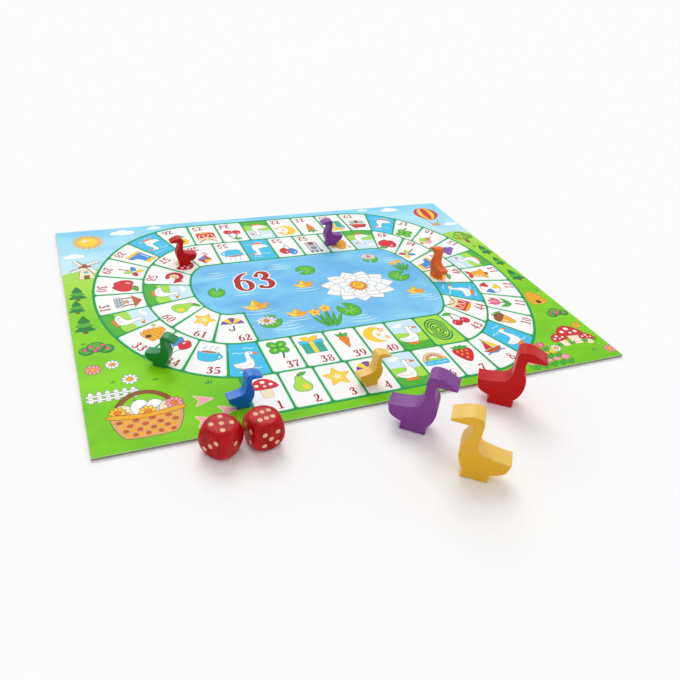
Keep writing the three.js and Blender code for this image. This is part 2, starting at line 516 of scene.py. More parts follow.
def cherries(pen):
    pen.stroke("forest", [(-3.8, -2), (-1.6, 4), (1.6, 8)], 1)
    pen.stroke("forest", [(3.8, -3), (3.4, 3), (1.6, 8)], 1)
    for x, y in ((-3.8, -4.2), (3.8, -5.2)):
        pen.oval("red", x, y, 3.6, edge="maroon")
        pen.oval("rose", x - 1.2, y + 1.2, 0.9)
    pen.green((1.6, 7.6), (-6, 8.6), 4)


def strawberry(pen):
    pen.blob("red", both_sides([(0, -8), (4.2, -3.4), (6, 2), (3.6, 5), (0, 4.6)]), "maroon")
    pen.dots("yellow", [(-3, 2), (0, 2.4), (3, 2), (-1.8, -1), (1.8, -1), (0, -4.2)], 0.5, 0.85, count=8)
    for x in (-5.4, -2, 2, 5.4):
        pen.green((0, 4.4), (x, 8 - abs(x) * 0.35), 2.4)


def grapes(pen):
    pen.stroke("brown", [(0, 5), (0.6, 9)], 1.2)
    for row, count in enumerate((4, 3, 2, 1)):
        for k in range(count):
            x, y = 3.3 * (k - (count - 1) / 2), 3.6 - 3 * row
            pen.oval("purple", x, y, 1.9, edge="navy", count=12)
            pen.oval("lilac", x - 0.6, y + 0.6, 0.55, count=8)
    pen.green((0.4, 6), (7.4, 8.4), 4)


def mushroom(pen):
    pen.blob("cream", [(-2.4, 1), (-2.8, -7), (0, -8), (2.8, -7), (2.4, 1)], "tan")
    pen.blob("red", [(-7.4, 0), (-5.4, 5), (0, 7.8), (5.4, 5), (7.4, 0), (0, -1)], "maroon")
    for x, y, r in ((-4, 2.6, 1.2), (0, 5, 1.4), (4, 2.4, 1.2), (0.4, 1.4, 0.9)):
        pen.oval("white", x, y, r, r * 0.85)


def carrot(pen):
    for x in (-4.4, 0, 4.4):
        pen.green((0, 2.6), (x, 9 - abs(x) * 0.3), 2.8)
    pen.blob("orange", both_sides([(0, -9), (1.6, -4.5), (3.2, 1.4), (2, 3.8), (0, 3.4)]), "rust")
    for x, y in ((-1.4, 1), (0.8, -1.4), (-0.5, -4.2)):
        pen.stroke("rust", [(x, y), (x + 1.9, y + 0.3)], 0.6)


TULIP_CUP = both_sides([(0, -0.4), (3, 0.6), (4.8, 3.6), (4.4, 8), (2.3, 5.6), (0, 8.8)])


def tulip(pen):
    pen.stroke("forest", [(0, 1), (0.4, -4), (0, -9)], 1.3)
    pen.green((0, -8.6), (6, -0.4), 3.4)
    pen.green((0, -8.6), (-6, -1.4), 3.4)
    pen.area("pink", TULIP_CUP, "maroon")
    pen.leaf("rose", (0, 0.4), (0, 8), 2.8)


def sunflower(pen):
    pen.stroke("forest", [(0, 0), (0.5, -5), (0, -9)], 1.3)
    pen.green((0.2, -6.6), (6, -3.4), 3)
    pen.green((0.2, -6.6), (-6, -4.4), 3)
    pen.petals("yellow", 0, 3, 12, 2.2, 6.4, 2.6, edge="orange")
    pen.oval("brown", 0, 3, 2.7, edge="umber")


def clover(pen):
    pen.stroke("forest", [(0, 1), (1.4, -4), (0.4, -9)], 1.3)
    for turn in (45, 135, 225, 315):
        pen.oval("leaf", *(3.9 * compass(turn) + (0, 2)), 3.6, 3, turn, "forest")
        pen.oval("lime", *(3.4 * compass(turn) + (0, 2)), 1.5, 0.9, turn, count=10)


def acorn(pen):
    pen.green((0, 6), (8, 4.4), 4.4)
    pen.blob("honey", both_sides([(0, -8.4), (2.6, -6), (4.6, -0.6), (3.6, 2.6), (0, 3)]), "brown")
    pen.oval("cream", -1.9, -1.6, 0.8, 2)
    pen.blob("brown", [(-5.6, 1.6), (-4.6, 5), (0, 6.6), (4.6, 5), (5.6, 1.6), (0, 0.8)], "umber")
    pen.stroke("umber", [(0, 6), (0.8, 9)], 1.4)


def star(pen):
    tips = np.array([oval(0, 0, r, turn=90, count=10)[k] for k, r in enumerate((8.4, 3.9) * 5)])
    pen.area("yellow", round_corners(tips, 1), "orange")
    pen.area("cream", tips * 0.42)


def ball(pen):
    pen.oval("slate", 0, 0, 7.4, count=24)
    pen.slices(("red", "white", "blue", "white", "yellow", "white"), 0, 0, 7, 20, 60)
    pen.oval("white", 0, 0, 1.7)


def kite(pen):
    top, left, right, tail, middle = (1.5, 8.6), (-4.6, 3), (6.2, 1.6), (-0.6, -4.6), (0.8, 2.3)
    pen.stroke("slate", [tail, (-3, -6), (0.6, -8), (-3.6, -9.4)], 0.7)
    for x, y, ink in ((-2.2, -5.8, "pink"), (-0.6, -7.6, "honey")):
        pen.leaf(ink, (x - 1.8, y - 0.5), (x + 1.8, y + 0.5), 1.7)
    pen.area("red", [top, left, tail, right], "maroon")
    pen.area("yellow", [top, left, middle])
    pen.area("blue", [middle, tail, right])


def boat(pen):
    pen.area("rust", [(-7, -3.4), (-4.4, -7), (4.4, -7), (7, -3.4)], "umber")
    pen.stroke("umber", [(0, -3.4), (0, 8.4)], 0.9)
    pen.area("yellow", [(0.8, -2.2), (6, -2.2), (0.8, 7.8)], "honey")
    pen.area("red", [(-0.8, -2.2), (-5, -2.2), (-0.8, 5.6)], "maroon")
    pen.stroke("blue", [(-8, -7.6), (-4, -6.8), (0, -7.8), (4, -6.8), (8, -7.6)], 1.2)


def bell(pen):
    pen.oval("brown", 0, -6.2, 2, edge="umber")
    cup_left = [(-6.8, -5.2), (-4.4, -1.4), (-3.8, 3), (0, 6.4)]
    pen.blob("honey", cup_left + [(3.8, 3), (4.4, -1.4), (6.8, -5.2), (0, -5.8)], "rust")
    pen.stroke("cream", [(-2.4, -2.8), (-2.2, 1), (-1, 4)], 1.3, 0.5)
    for x in (-5.6, 5.6):
        pen.leaf("red", (0, 6.4), (x, 8.8), 3, "maroon")


def umbrella(pen):
    pen.stroke("umber", [(0, 6), (0, -5.6), (-1.2, -7.6), (-3, -7), (-3.2, -5.4)], 1)
    pen.slices(("purple", "yellow", "purple", "yellow", "purple"), 0, -0.4, 7.8, 0, 36)
    pen.dots("white", [(x, -0.8) for x in (-6.2, -3.1, 0, 3.1, 6.2)], 1.55, 1.1, count=10)


def balloon(pen):
    for x, y, ink, edge in ((-2.8, 3, "blue", "navy"), (3, 1.4, "red", "maroon")):
        pen.stroke("slate", [(x, y - 4), (x * 0.5, -5), (0, -9)], 0.6)
        pen.blob(ink, [(x, y - 5), (x + 3.8, y), (x, y + 5), (x - 3.8, y)], edge)
        pen.oval("mist", x - 1.4, y + 1.8, 0.7, 1.3, -20, count=10)


def gift(pen):
    pen.bar("teal", -6.4, -7.6, 6.4, 2.4, "forest")
    pen.bar("aqua", -7.2, 1.4, 7.2, 4.6, "forest")
    pen.bar("yellow", -1.4, -7.6, 1.4, 4.6)
    for x in (-5.4, 5.4):
        pen.leaf("yellow", (0, 4.6), (x, 8.2), 4, "orange")


def boot(pen):
    shaft = [(-4.4, 8), (-4.6, -1), (-5, -5.6), (7, -5.6), (6.6, -2.4), (2.6, -0.6), (1.8, 8)]
    pen.area("blue", round_corners(shaft, 1.6), "navy")
    pen.bar("yellow", -5.2, -7.4, 7.2, -5.4, "orange")
    pen.bar("yellow", -4.9, 5.6, 2.4, 8.2, "orange")
    pen.stroke("mist", [(-2.8, 4), (-3, -1), (-3, -3.6)], 1, 0.5)


def drum(pen):
    pen.bar("red", -6.4, -6, 6.4, 2.6, "maroon")
    pen.stroke("cream", [(-6.2, 2), (-3.2, -5), (-0.1, 2), (0.1, 2), (3.2, -5), (6.2, 2)], 0.9)
    pen.oval("honey", 0, -6, 6.6, 1.8, edge="rust")
    pen.bar("red", -6.4, -6, 6.4, -4.6)
    pen.oval("cream", 0, 3, 6.6, 2.4, edge="rust")
    for side in (-1, 1):
        pen.stroke("brown", [(side * 1.6, 3), (side * 6.6, 7.8)], 0.9)
        pen.oval("tan", side * 1.4, 3, 1.1, count=10)


def cup(pen):
    pen.area("aqua", hoop(oval(5, -1.6, 3.6, 3.4), oval(5, -1.6, 2, 1.9)))
    bowl = [(-6, 2.6), (-5.4, -4.4), (-3, -6.6), (2.6, -6.6), (5, -4.4), (5.6, 2.6), (0, 1.8)]
    pen.blob("aqua", bowl, "navy")
    pen.oval("mist", -0.2, 2.6, 5.7, 1.5)
    pen.oval("rust", -0.2, 2.4, 4.8, 1)
    for x in (-3, 0.6, 4):
        pen.stroke("grey", [(x, 4.4), (x - 0.9, 6), (x + 0.5, 7.2), (x, 8.8)], 0.8)


def ice_cream(pen):
    pen.area("tan", [(-4.4, 0), (0, -9), (4.4, 0)], "brown")
    for x in (-2, 0, 2):
        pen.stroke("brown", [(x - 1.2, -0.6), (x * 0.3 + 0.8, -5)], 0.5)
    scoops = (0, 5.2, "cream", "honey"), (-2.8, 1.6, "rose", "pink"), (2.8, 1.6, "lime", "leaf")
    for x, y, ink, edge in scoops:
        pen.oval(ink, x, y, 3.4, edge=edge)
    pen.oval("red", 0.4, 8.4, 1.3, edge="maroon", count=10)


def pinwheel(pen):
    pen.stroke("brown", [(0, 2), (0, -9)], 1.2)
    for k, ink in enumerate(("red", "yellow", "blue", "lime")):
        pen.at(0, 2.4, 90 * k + 15).blob(ink, [(0, 0), (4, -0.6), (6.4, 2.4), (2.6, 2.6)], "slate")
    pen.oval("white", 0, 2.4, 1, edge="slate", count=10)


def moon(pen):
    outer, inner = oval(0, 0, 7.4, start=70, sweep=220), oval(3, -0.6, 5.6, 6, start=80, sweep=190)
    pen.area("yellow", np.vstack([outer, inner[::-1]]), "honey")
    pen.put(star, (4.4, 3.8, 10, 0.24), (5.4, -3.8, 10, 0.19), (1.2, -0.4, 10, 0.15))


def beehive(pen):
    for k, half in enumerate((6.6, 7, 6.4, 5, 3)):
        pen.oval("honey", 0, -5.6 + 3 * k, half, 2.1, edge="rust", count=18)
    pen.oval("umber", 0, -5, 1.9, 2.2)
    pen.dots("yellow", [(-6.8, 6), (6.6, 3.4)], 1.3, 0.9, edge="umber", count=10)


REGULAR = (
    kite, mushroom, pear, star, umbrella, strawberry, boat, acorn, tulip, ball, bell, grapes, ice_cream,
    clover, gift, carrot, moon, cherries, drum, sunflower, boot, pinwheel, apple, beehive, balloon, cup,
)


# Motifs of the squares with a rule

def goose(pen):
    """The set's own goose outline as a white bird, one unit high."""

    def shares(points):
        return [(x * PAWN_LENGTH, y) for x, y in points]

    pen.area("white", goose_outline(1, 6), "slate")
    beak = [(0.387, 0.858), (0.532, 0.858), (0.54, 0.898), (0.448, 0.932), (0.387, 0.957)]
    pen.area("orange", shares(beak), "rust")
    pen.bar("orange", -FOOT_LENGTH / 2, 0, FOOT_LENGTH / 2, FOOT_HEIGHT, "rust")
    pen.oval("soot", 0.26 * PAWN_LENGTH, 0.94, 0.028, count=8)
    wing = np.array(shares([(0.2, 0.33), (0.03, 0.37), (-0.37, 0.35), (-0.14, 0.21)]))
    pen.blob("grey", wing)
    pen.blob("white", wing * (0.94, 1) + (0, 0.025))


def bridge(pen):
    pen.bar("aqua", -11, -15, 11, -9)
    pen.bar("lime", -11, -9, 11, -6)
    for x in (-6, 2, 7):
        pen.stroke("mist", [(x - 3, -12.4), (x, -11.8), (x + 2, -12.4)], 0.7)
    pen.area("tan", bow((0, -9, 10.4), (0, -9, 5.2), 0, 180, 10))
    pen.area("cream", bow((0, -9, 9.4), (0, -9, 8.6), 0, 180, 10))
    for turn in range(18, 180, 24):
        pen.stroke("brown", [5.2 * compass(turn) + (0, -9), 8.6 * compass(turn) + (0, -9)], 0.5)


def inn(pen):
    pen.bar("cream", -8, -9, 8, 2, "brown")
    pen.area("red", [(-10, 1.4), (10, 1.4), (6, 9), (-6, 9)], "maroon")
    pen.bar("rust", 3.4, 7, 5.8, 11.6, "umber")
    pen.bar("brown", -1.8, -9, 2.2, -2, "umber")
    for x in (-5.2, 5.4):
        pen.bar("aqua", x - 1.6, -5.4, x + 1.6, -1.4, "brown")
    for y in (3.4, 5.4, 7.2):
        half = 9.6 - 0.52 * (y - 1.4)
        pen.stroke("maroon", [(-half, y), (half, y)], 0.4)


def well(pen):
    for x in (-5.4, 5.4):
        pen.bar("brown", x - 0.8, -4, x + 0.8, 6)
    pen.area("rust", [(-9, 5), (9, 5), (0, 11.6)], "umber")
    pen.stroke("umber", [(0, 5), (0, -1)], 0.6)
    pen.bar("tan", -1.8, -3, 1.8, 0.6, "umber")
    pen.bar("slate", -7.6, -10, 7.6, -3)
    for row in range(3):
        left = -6.15 + 0.9 * (row % 2)
        pen.dots("grey", [(left + 3.8 * k, -8.8 + 2.3 * row) for k in range(4)], 1.7, 0.95, count=10)


def maze(pen):
    """A hedge maze of nested ovals, each with a gateway, on a lawn that fills the square."""
    pen.bar("lime", -16, -22, 16, 22)
    for k, gate in enumerate((20, 200, 330, 110, 250)):
        outer, inner = 10.4 - 2 * k, 9.3 - 2 * k
        pen.area("forest", bow((0, 0, outer, outer * 1.45), (0, 0, inner, inner * 1.45), gate, 325, 26))
    pen.oval("yellow", 0, 0, 0.9)


def tower(pen):
    pen.bar("slate", -5.4, -10, 5.4, 6)
    for x in (-6.4, -2.2, 2):
        pen.bar("slate", x, 5, x + 3, 9.4)
    pen.bar("grey", -4.8, -9.6, 4.8, 5.4)
    pen.oval("soot", 0, 0.6, 2.4, 3)
    for x in (-1.2, 0, 1.2):
        pen.bar("grey", x - 0.22, -2.6, x + 0.22, 3.8)
    pen.bar("brown", -2, -10, 2, -5.4, "umber")


def turn_back(pen):
    """An arrow that sends the player round again."""
    pen.area("red", bow((0, 0, 7.6), (0, 0, 4.6), 30, 285), "maroon")
    pen.area("red", [(2.4, 2.2), (10.4, 3), (5.4, 9)], "maroon")
    pen.put(star, (0, 0, 0, 0.38))


RULED = {6: bridge, 19: inn, 31: well, 52: tower, 58: turn_back}


# Track

def track_point(place, depth):
    """A point of the spiral: place counts its stretches from the start, depth counts rows inwards."""
    stretch = min(int(place), 8)
    share = place - stretch
    lap, side = divmod(stretch, 4)
    depth = depth + lap
    height = HALF_HEIGHT - ROW * depth
    if side == 0:
        first = START_X if lap == 0 else -TURN_X
        last = END_X if lap == 2 else TURN_X
        return first + (last - first) * share, -height
    if side == 2:
        return TURN_X * (1 - 2 * share), height
    angle = math.pi * (share - 0.5)
    if side == 1:
        return TURN_X + (RIGHT_REACH - RIGHT_NARROWING * depth) * math.cos(angle), height * math.sin(angle)
    reach = LEFT_REACH - LEFT_NARROWING * depth
    return -TURN_X - reach * math.cos(angle), ROW / 2 - (height - ROW / 2) * math.sin(angle)


PLACES = np.linspace(0, 9, 541)
MIDDLE = np.array([track_point(p, 0.5) for p in PLACES])
LENGTHS = np.concatenate([[0], np.cumsum(np.linalg.norm(np.diff(MIDDLE, axis=0), axis=1))])
SQUARE_LENGTH = LENGTHS[-1] / SQUARES


def on_track(length, across):
    """A point so many millimetres along the track and in from its outer line."""
    return np.array(track_point(float(np.interp(length, LENGTHS, PLACES)), across / ROW))


def square_ring(index, inset, corner):
    """The outline of one square, inset from its lines, with rounded corners."""
    first, last = (index - 1) * SQUARE_LENGTH + inset, index * SQUARE_LENGTH - inset
    low, high = inset, ROW - inset
    half = [(a, low) for a in np.linspace(first + corner, last - corner, 6)]
    half.extend(bezier([half[-1], (last, low), (last, low + corner)], CORNER_STEPS))
    half.append((last, high - corner))
    half.extend(bezier([half[-1], (last, high), (last - corner, high)], CORNER_STEPS)[:-1])
    # The other half is the same one, turned round
    other_half = [(first + last - a, low + high - b) for a, b in half]
    return np.array([on_track(a, b) for a, b in half + other_half])


def track_pen(pen, length):
    """A pen in the middle of the track, upright as seen from the outer line."""
    outer, inner = on_track(length, 0), on_track(length, ROW)
    up = inner - outer
    return pen.at(*((outer + inner) / 2), math.degrees(math.atan2(up[1], up[0])) - 90)


def fitted(motif, pen, width, height):
    """Draws a motif around the pen, as large as the width and height allow."""
    trial = Pen([])
    motif(trial)
    points = np.vstack([ring for _, ring, _ in trial.areas])
    low, high = points.min(axis=0), points.max(axis=0)
    size = min(width / (high[0] - low[0]), height / (high[1] - low[1]))
    motif(pen.at(*(-size * (low + high) / 2), 0, size))


def draw_water(pen):
    for x, y in ((-4, -15), (5, -11), (-5, 8), (4, 13)):
        pen.stroke("mist", [(x - 4, y), (x - 1.5, y + 0.8), (x + 1.5, y - 0.4), (x + 4, y + 0.4)], 0.8)


def draw_meadow(pen):
    pen.blob("lime", [(-20, -1), (-6, 2.4), (6, -0.6), (20, 2), (20, -24), (-20, -24)])
    pen.blob("leaf", [(-20, -10), (-4, -8), (8, -11), (20, -9), (20, -26), (-20, -26)])
    pen.oval("white", -6, 12, 4, 1.9)
    pen.oval("white", -3, 13, 3, 1.9)


def regular_motif(index):
    """The motif of a square without a rule. The second time round, the row of motifs starts in its middle."""
    place = index - sum(k < index for k in GOOSE_SQUARES + (MAZE_SQUARE,) + tuple(RULED))
    shift = place // len(REGULAR) * (len(REGULAR) // 2)
    return REGULAR[(place + shift) % len(REGULAR)]


def draw_square(pen, index):
    inset = LINE_WIDTH / 2
    ring = square_ring(index, inset, SQUARE_CORNER)
    pen = pen.within(ring)
    middle = (index - 0.5) * SQUARE_LENGTH
    here = track_pen(pen, middle)
    sides = [on_track(k * SQUARE_LENGTH, ROW / 2 + MOTIF_RISE) for k in (index - 1, index)]
    room = np.linalg.norm(sides[1] - sides[0])
    if index in GOOSE_SQUARES:
        by_water = GOOSE_SQUARES.index(index) % 2
        pen.area("aqua" if by_water else "mist", ring)
        (draw_water if by_water else draw_meadow)(here)
        here.put(goose, (*GOOSE_PLACE, 0, GOOSE_HEIGHT * room / SQUARE_LENGTH))
        return
    pen.area("mint", ring)
    pen.area("white", square_ring(index, inset + TINT_WIDTH, TINT_CORNER))
    if index == MAZE_SQUARE:
        maze(here)
        return
    motif = RULED.get(index) or regular_motif(index)
    fitted(motif, here.at(0, MOTIF_RISE), MOTIF_SHARE * room, MOTIF_HEIGHT)
    number(track_pen(pen, middle + NUMBER_SIDE), index, 0, -NUMBER_DROP, NUMBER_HEIGHT)


def track_ring():
    """The outer outline of the whole track."""
    outline = [track_point(p, 0) for p in np.linspace(0, 4, 161)]
    return widen(outline + [(START_X, ROW - HALF_HEIGHT)], BORDER_WIDTH)


def pond_ring():
    """The track's inner outline, from the end of its last square."""
    start = 4 + (END_X + TURN_X) / (2 * TURN_X)
    ring = [track_point(p, 1) for p in np.linspace(4, 9, 161) if p >= start]
    return widen([(END_X, 2 * ROW - HALF_HEIGHT)] + ring, -LINE_WIDTH / 2)


# Scenery around the track

def cloud(pen):
    pen.oval("mist", 0, -1.4, 12, 3)
    for x, y, r in ((-6.6, 0, 4.4), (0, 2, 5.8), (6.4, 0.4, 4.6), (-2.6, -0.6, 4.4), (3, -0.8, 4.2)):
        pen.oval("white", x, y, r, r * 0.8)


def sun(pen):
    pen.petals("honey", 0, 0, 16, 8, 15, 3.4, fullest=0.7)
    pen.oval("yellow", 0, 0, 9, edge="orange", count=28)
    pen.oval("cream", -2.6, 2.8, 3, 2.2, 40)


def fir(pen):
    pen.bar("brown", -1.4, -12, 1.4, -6, "umber")
    for k, half in enumerate((8.4, 6.8, 5)):
        low = -8 + 6.4 * k
        tree = [(-half, low), (0, low - 1.4), (half, low), (0, low + 10)]
        pen.area("leaf" if k % 2 else "forest", round_corners(tree, 1.2), "forest")


def round_tree(pen):
    pen.area("brown", [(-2.4, -14), (2.4, -14), (1.4, -2), (-1.4, -2)], "umber")
    pen.stroke("brown", [(0, -4), (4, 1)], 1.6, 0.8)
    crown = ((-7, 2, 6), (7, 2, 6), (0, 8, 7.4), (0, 1, 6.6))
    for x, y, r in crown:
        pen.oval("leaf", x, y, r, edge="forest", count=18)
    for x, y, r in crown:
        pen.oval("leaf", x, y, r)
        pen.oval("lime", x - 1.4, y + 1.8, r * 0.5, r * 0.4)
    pen.dots("honey", [(-8, 0), (-3, 6), (3, 1), (8, 3), (2, 10), (-4, -2)], 1.4, edge="rust", count=10)


def windmill(pen):
    pen.area("cream", [(-6, -14), (6, -14), (3.6, 6), (-3.6, 6)], "brown")
    pen.blob("rust", [(-4.6, 5.6), (0, 11), (4.6, 5.6), (0, 5)], "umber")
    pen.bar("brown", -1.7, -14, 1.7, -8.6, "umber")
    pen.oval("aqua", 0, -3, 1.5, edge="brown")
    for turn in (25, 115, 205, 295):
        sail = pen.at(0, 6, turn)
        sail.bar("white", 3, 0.4, 13, 3.6, "slate")
        sail.stroke("brown", [(0, 0), (13, 0)], 0.9)
        for x in (5.4, 8, 10.6):
            sail.bar("slate", x - 0.2, 0.4, x + 0.2, 3.6)
    pen.oval("umber", 0, 6, 1.3)


def air_balloon(pen):
    for x in (-2.6, 2.6):
        pen.stroke("umber", [(x * 2.2, -2.6), (x, -11)], 0.5)
    envelope = np.array([(0, -4.4), (4.6, -2), (9.4, 5), (9, 12), (5, 17), (0, 18.4)])
    for share, ink, edge in ((1, "red", "maroon"), (0.68, "yellow", None), (0.3, "red", None)):
        pen.blob(ink, both_sides(envelope * (share, 1)), edge)
    pen.oval("rose", -5.6, 11.4, 1.1, 2.6, -20)
    pen.area("tan", [(-3.2, -11), (3.2, -11), (2.6, -15), (-2.6, -15)], "brown")


def fence(pen, pales=6):
    for x in np.arange(pales) * 5.4:
        pen.area("white", [(x, -5), (x + 3, -5), (x + 3, 4), (x + 1.5, 6), (x, 4)], "slate")
    for y in (-2.6, 1.4):
        pen.bar("white", -1.4, y - 0.7, 5.4 * pales - 1, y + 0.7, "slate")


def daisy(pen, ink="white", heart="honey"):
    pen.petals(ink, 0, 0, 9, 1.4, 6.2, 3, edge="slate" if ink == "white" else "maroon")
    pen.oval(heart, 0, 0, 2.2, edge="rust")


def bush(pen):
    for x, y, r in ((-7, -1, 5.4), (7, -1, 5.4), (0, 2.4, 6.6)):
        pen.oval("forest", x, y, r, edge="forest", count=18)
        pen.oval("leaf", x - 0.5, y + 0.8, r * 0.84, count=18)
    pen.dots("pink", [(-8, 0), (-4, 4), (1, 1), (5, 4), (8, -1), (-1, -2)], 1.5, edge="maroon", count=10)


def basket(pen):
    """A wicker basket of eggs and flowers."""
    pen.area("brown", bow((0, 2, 19, 22), (0, 2, 16, 19), 0, 180), "umber")
    eggs = ((-12, 6, 20, "cream"), (-3, 9, -8, "white"), (6.4, 7.4, 14, "white"), (13, 5, -20, "cream"))
    for x, y, turn, ink in eggs:
        pen.oval(ink, x, y, 5.2, 6.8, turn, edge="slate", count=22)
        pen.oval("grey" if ink == "white" else "tan", x + 1.8, y - 2.4, 2, 3.4, turn)
    for x, y, size, ink in ((-16, 7, 0.8, "yellow"), (1, 4, 0.9, "yellow"), (17, 8, 0.9, "rose")):
        daisy(pen.at(x, y, 20, size), ink, "orange")
    pen.blob("tan", [(-20, 3), (-16, -14), (-8, -17), (8, -17), (16, -14), (20, 3), (0, 0)], "umber")
    for row in range(4):
        half = 18.6 - 1.5 * row
        for k in range(8):
            x = -half + half / 4 * (k + 0.5)
            pen.oval("honey" if (k + row) % 2 else "rust", x, -2 - 4 * row, half / 8.6, 1.6, count=12)
    pen.blob("honey", [(-21, 2), (-20, 5), (0, 2.4), (20, 5), (21, 2), (0, -0.8)], "umber")


def tuft(pen):
    for x, y in ((-2.6, 3.4), (0, 5.2), (2.6, 3.8)):
        pen.leaf("forest", (x * 0.25, 0), (x, y), 0.95, count=5)


def toadstools(pen):
    pen.put(mushroom, (-7, -3, 8, 0.9), (5, 1, -6, 1.35), (14, -6, -14, 0.75))
    pen.put(tuft, *((x, -10, 0, 1.2) for x in (-12, -1, 10, 18)))


def arrow(pen):
    pen.area("rose", round_corners([(-6, -5.4), (6.4, 0), (-6, 5.4), (-3, 0)], 0.8), "cream")


def beds(pen):
    """Rows of tulips in three colours."""
    for row, ink in enumerate(("rose", "yellow", "pink")):
        for k in range(5 - row):
            here = pen.at(8 * k + 3 * row, 9 * row, 0, 0.72)
            tulip(here)
            if ink != "pink":
                here.area(ink, TULIP_CUP, "rust")


def daisies(pen, *spots):
    for x, y, size, ink in spots:
        daisy(pen.at(x, y, 0, size), ink)


def draw_land(pen, half_length, half_width):
    chance = random.Random(GRASS_SEED)
    pen.bar("meadow", -half_length, -half_width, half_length, half_width)
    horizon = [(-204, 66), (-180, 72), (-150, 62), (-60, 92), (60, 92), (150, 70), (182, 76), (204, 66)]
    pen.area("sky", np.vstack([curve(horizon, closed=False), [(204, 154), (-204, 154)]]))
    pen.blob("lime", [(-206, 58), (-188, 74), (-160, 70), (-140, 40)])
    pen.blob("lime", [(206, 56), (190, 78), (164, 72), (140, 40)])
    pen.put(cloud, (-142, 139), (-188, 100, 0, 0.8), (-112, 144, 0, 0.6))
    pen.put(cloud, (140, 141, 0, 0.9), (191, 96, 0, 0.72), (110, 145, 0, 0.5))
    pen.put(sun, (-174, 126))
    pen.put(windmill, (-181, 74, 0, 1.05))
    pen.put(fir, (-191, 36, 0, 0.8), (-193, 16, 0, 0.7), (-190, -10, 0, 0.9))
    pen.put(bush, (-185, -42, 0, 0.95))
    daisies(pen, (-177, -63, 0.8, "white"), (-190, -66, 0.9, "rose"), (-168, -82, 0.9, "white"))
    for _ in range(GRASS_TUFTS):
        x, y = chance.uniform(-198, 198), chance.uniform(-148, 60)
        pen.put(tuft, (x, y, 0, chance.uniform(0.6, 1.1)))
    pen.put(fence, (-196, -96))
    pen.put(basket, (-163, -122, 0, 1.08))
    pen.put(arrow, (-126, -116), (-113, -130), (-129, -136))
    pen.put(air_balloon, (176, 115, -6, 1.3))
    pen.put(round_tree, (187, 64, 0, 0.82))
    pen.put(fir, (193, 34, 0, 0.74), (192, -18, 0, 0.8), (193, 10, 0, 0.62))
    pen.put(beehive, (184, -58, 0, 1.25))
    pen.put(bush, (188, -84, 0, 0.8))
    pen.put(beds, (120, -142))
    pen.put(toadstools, (172, -116, 0, 1.15))
    daisies(pen, (192, -104, 0.7, "yellow"), (152, -128, 0.7, "white"), (196, -140, 0.8, "rose"))


# Pond in the middle, the last square

def lily(pen):
    """A water lily in three rings of petals."""
    for count, inner, outer, width, turn in ((11, 5, 34, 15, 0), (9, 4, 27, 13, 18), (7, 3, 19, 10, 5)):
        for k in range(count):
            way = compass(turn + 360 * k / count) * (1, 0.74)
            pen.leaf("white", inner * way, outer * way, width, "slate", 1.15, 11)
            pen.leaf("mist", inner * 1.6 * way, outer * 0.72 * way, width * 0.34, None, 1.0)
    pen.petals("orange", 0, 0, 16, 2, 8.4, 2.2, edge="rust")
    pen.petals("yellow", 0, 0.6, 12, 1, 6, 2, turn=10)
    pen.oval("honey", 0, 0.6, 2.6, 2.2, edge="rust")


def pad(pen):
    """A floating leaf with its notch."""
    pen.area("leaf", np.vstack([oval(0, 0, 9, 8, start=18, sweep=324, count=26), (0, 0)]), "forest")
    for turn in range(60, 330, 45):
        pen.stroke("lime", [1.4 * compass(turn), 6.8 * compass(turn)], 0.9, 0.4)


def ripple(pen, width):
    for k in range(3):
        half = width * (1 - 0.22 * k)
        arc = oval(0, 0, half, half * 0.24, start=200, sweep=140, count=12)
        pen.area("mist", ribbon(arc + (0, 3.4 * k - 2), (0.3, 1.1, 0.3)))


def paper_boat(pen):
    pen.area("yellow", [(-5, 1), (0, 9), (5, 1)], "rust")
    pen.area("honey", [(0, 9), (5, 1), (0, 1)])
    pen.area("yellow", [(-10, 3.4), (-5.6, -4), (5.6, -4), (10, 3.4), (0, -0.4)], "rust")
    pen.area("honey", [(10, 3.4), (5.6, -4), (0, -4), (0, -0.4)])


def iris(pen):
    """Yellow flags among their sword leaves."""
    for x, tip in ((-7, -13), (-4, -5), (0, 1), (4, 8), (7, 15)):
        pen.green((x * 0.5, -13), (tip, 12 - abs(tip) * 0.4), 3, 0.7)
    for x, y in ((-8, 11), (3, 15)):
        pen.stroke("forest", [(x * 0.3, -10), (x * 0.8, 2), (x, y)], 1)
        pen.petals("yellow", x, y, 5, 0.4, 5.6, 3.2, 90, "orange")
        pen.oval("rust", x, y, 1, count=10)


def draw_pond(pen):
    ring = pond_ring()
    pen = pen.within(ring)
    pen.area("pond", ring)
    left = (-78, 42, 12), (-62, 10, 10), (-20, 46, 12), (-42, -46, 13)
    right = (88, 36, 11), (20, -50, 12), (92, -34, 9)
    for x, y, width in left + right:
        ripple(pen.at(x, y), width)
    pen.put(pad, (2, 34, 200), (14, -36, 120, 1.15), (70, 42, 250, 0.9))
    pen.put(pad, (82, 6, 20, 1.1), (-84, 14, 70, 0.85), (-54, -38, 30, 1.05))
    pen.put(lily, (38, -2), (70, 46, 0, 0.22), (-57, -36, 0, 0.24))
    for x, y, turn, size in ((-58, -14, 6, 1.15), (-30, -32, -8, 0.9), (-8, 10, 5, 0.95), (84, -22, -6, 0.9)):
        ripple(pen.at(x, y - 5 * size), 13 * size)
        paper_boat(pen.at(x, y, turn, size))
    pen.put(iris, (-8, -44, 0, 0.95), (92, 22, 0, 0.62))
    for turn in range(0, 360, 30):
        number(pen, LAST_NUMBER, *(LAST_PLACE + LAST_RIM * compass(turn)), LAST_HEIGHT, "white")
    number(pen, LAST_NUMBER, *LAST_PLACE, LAST_HEIGHT)


# Printed sheet

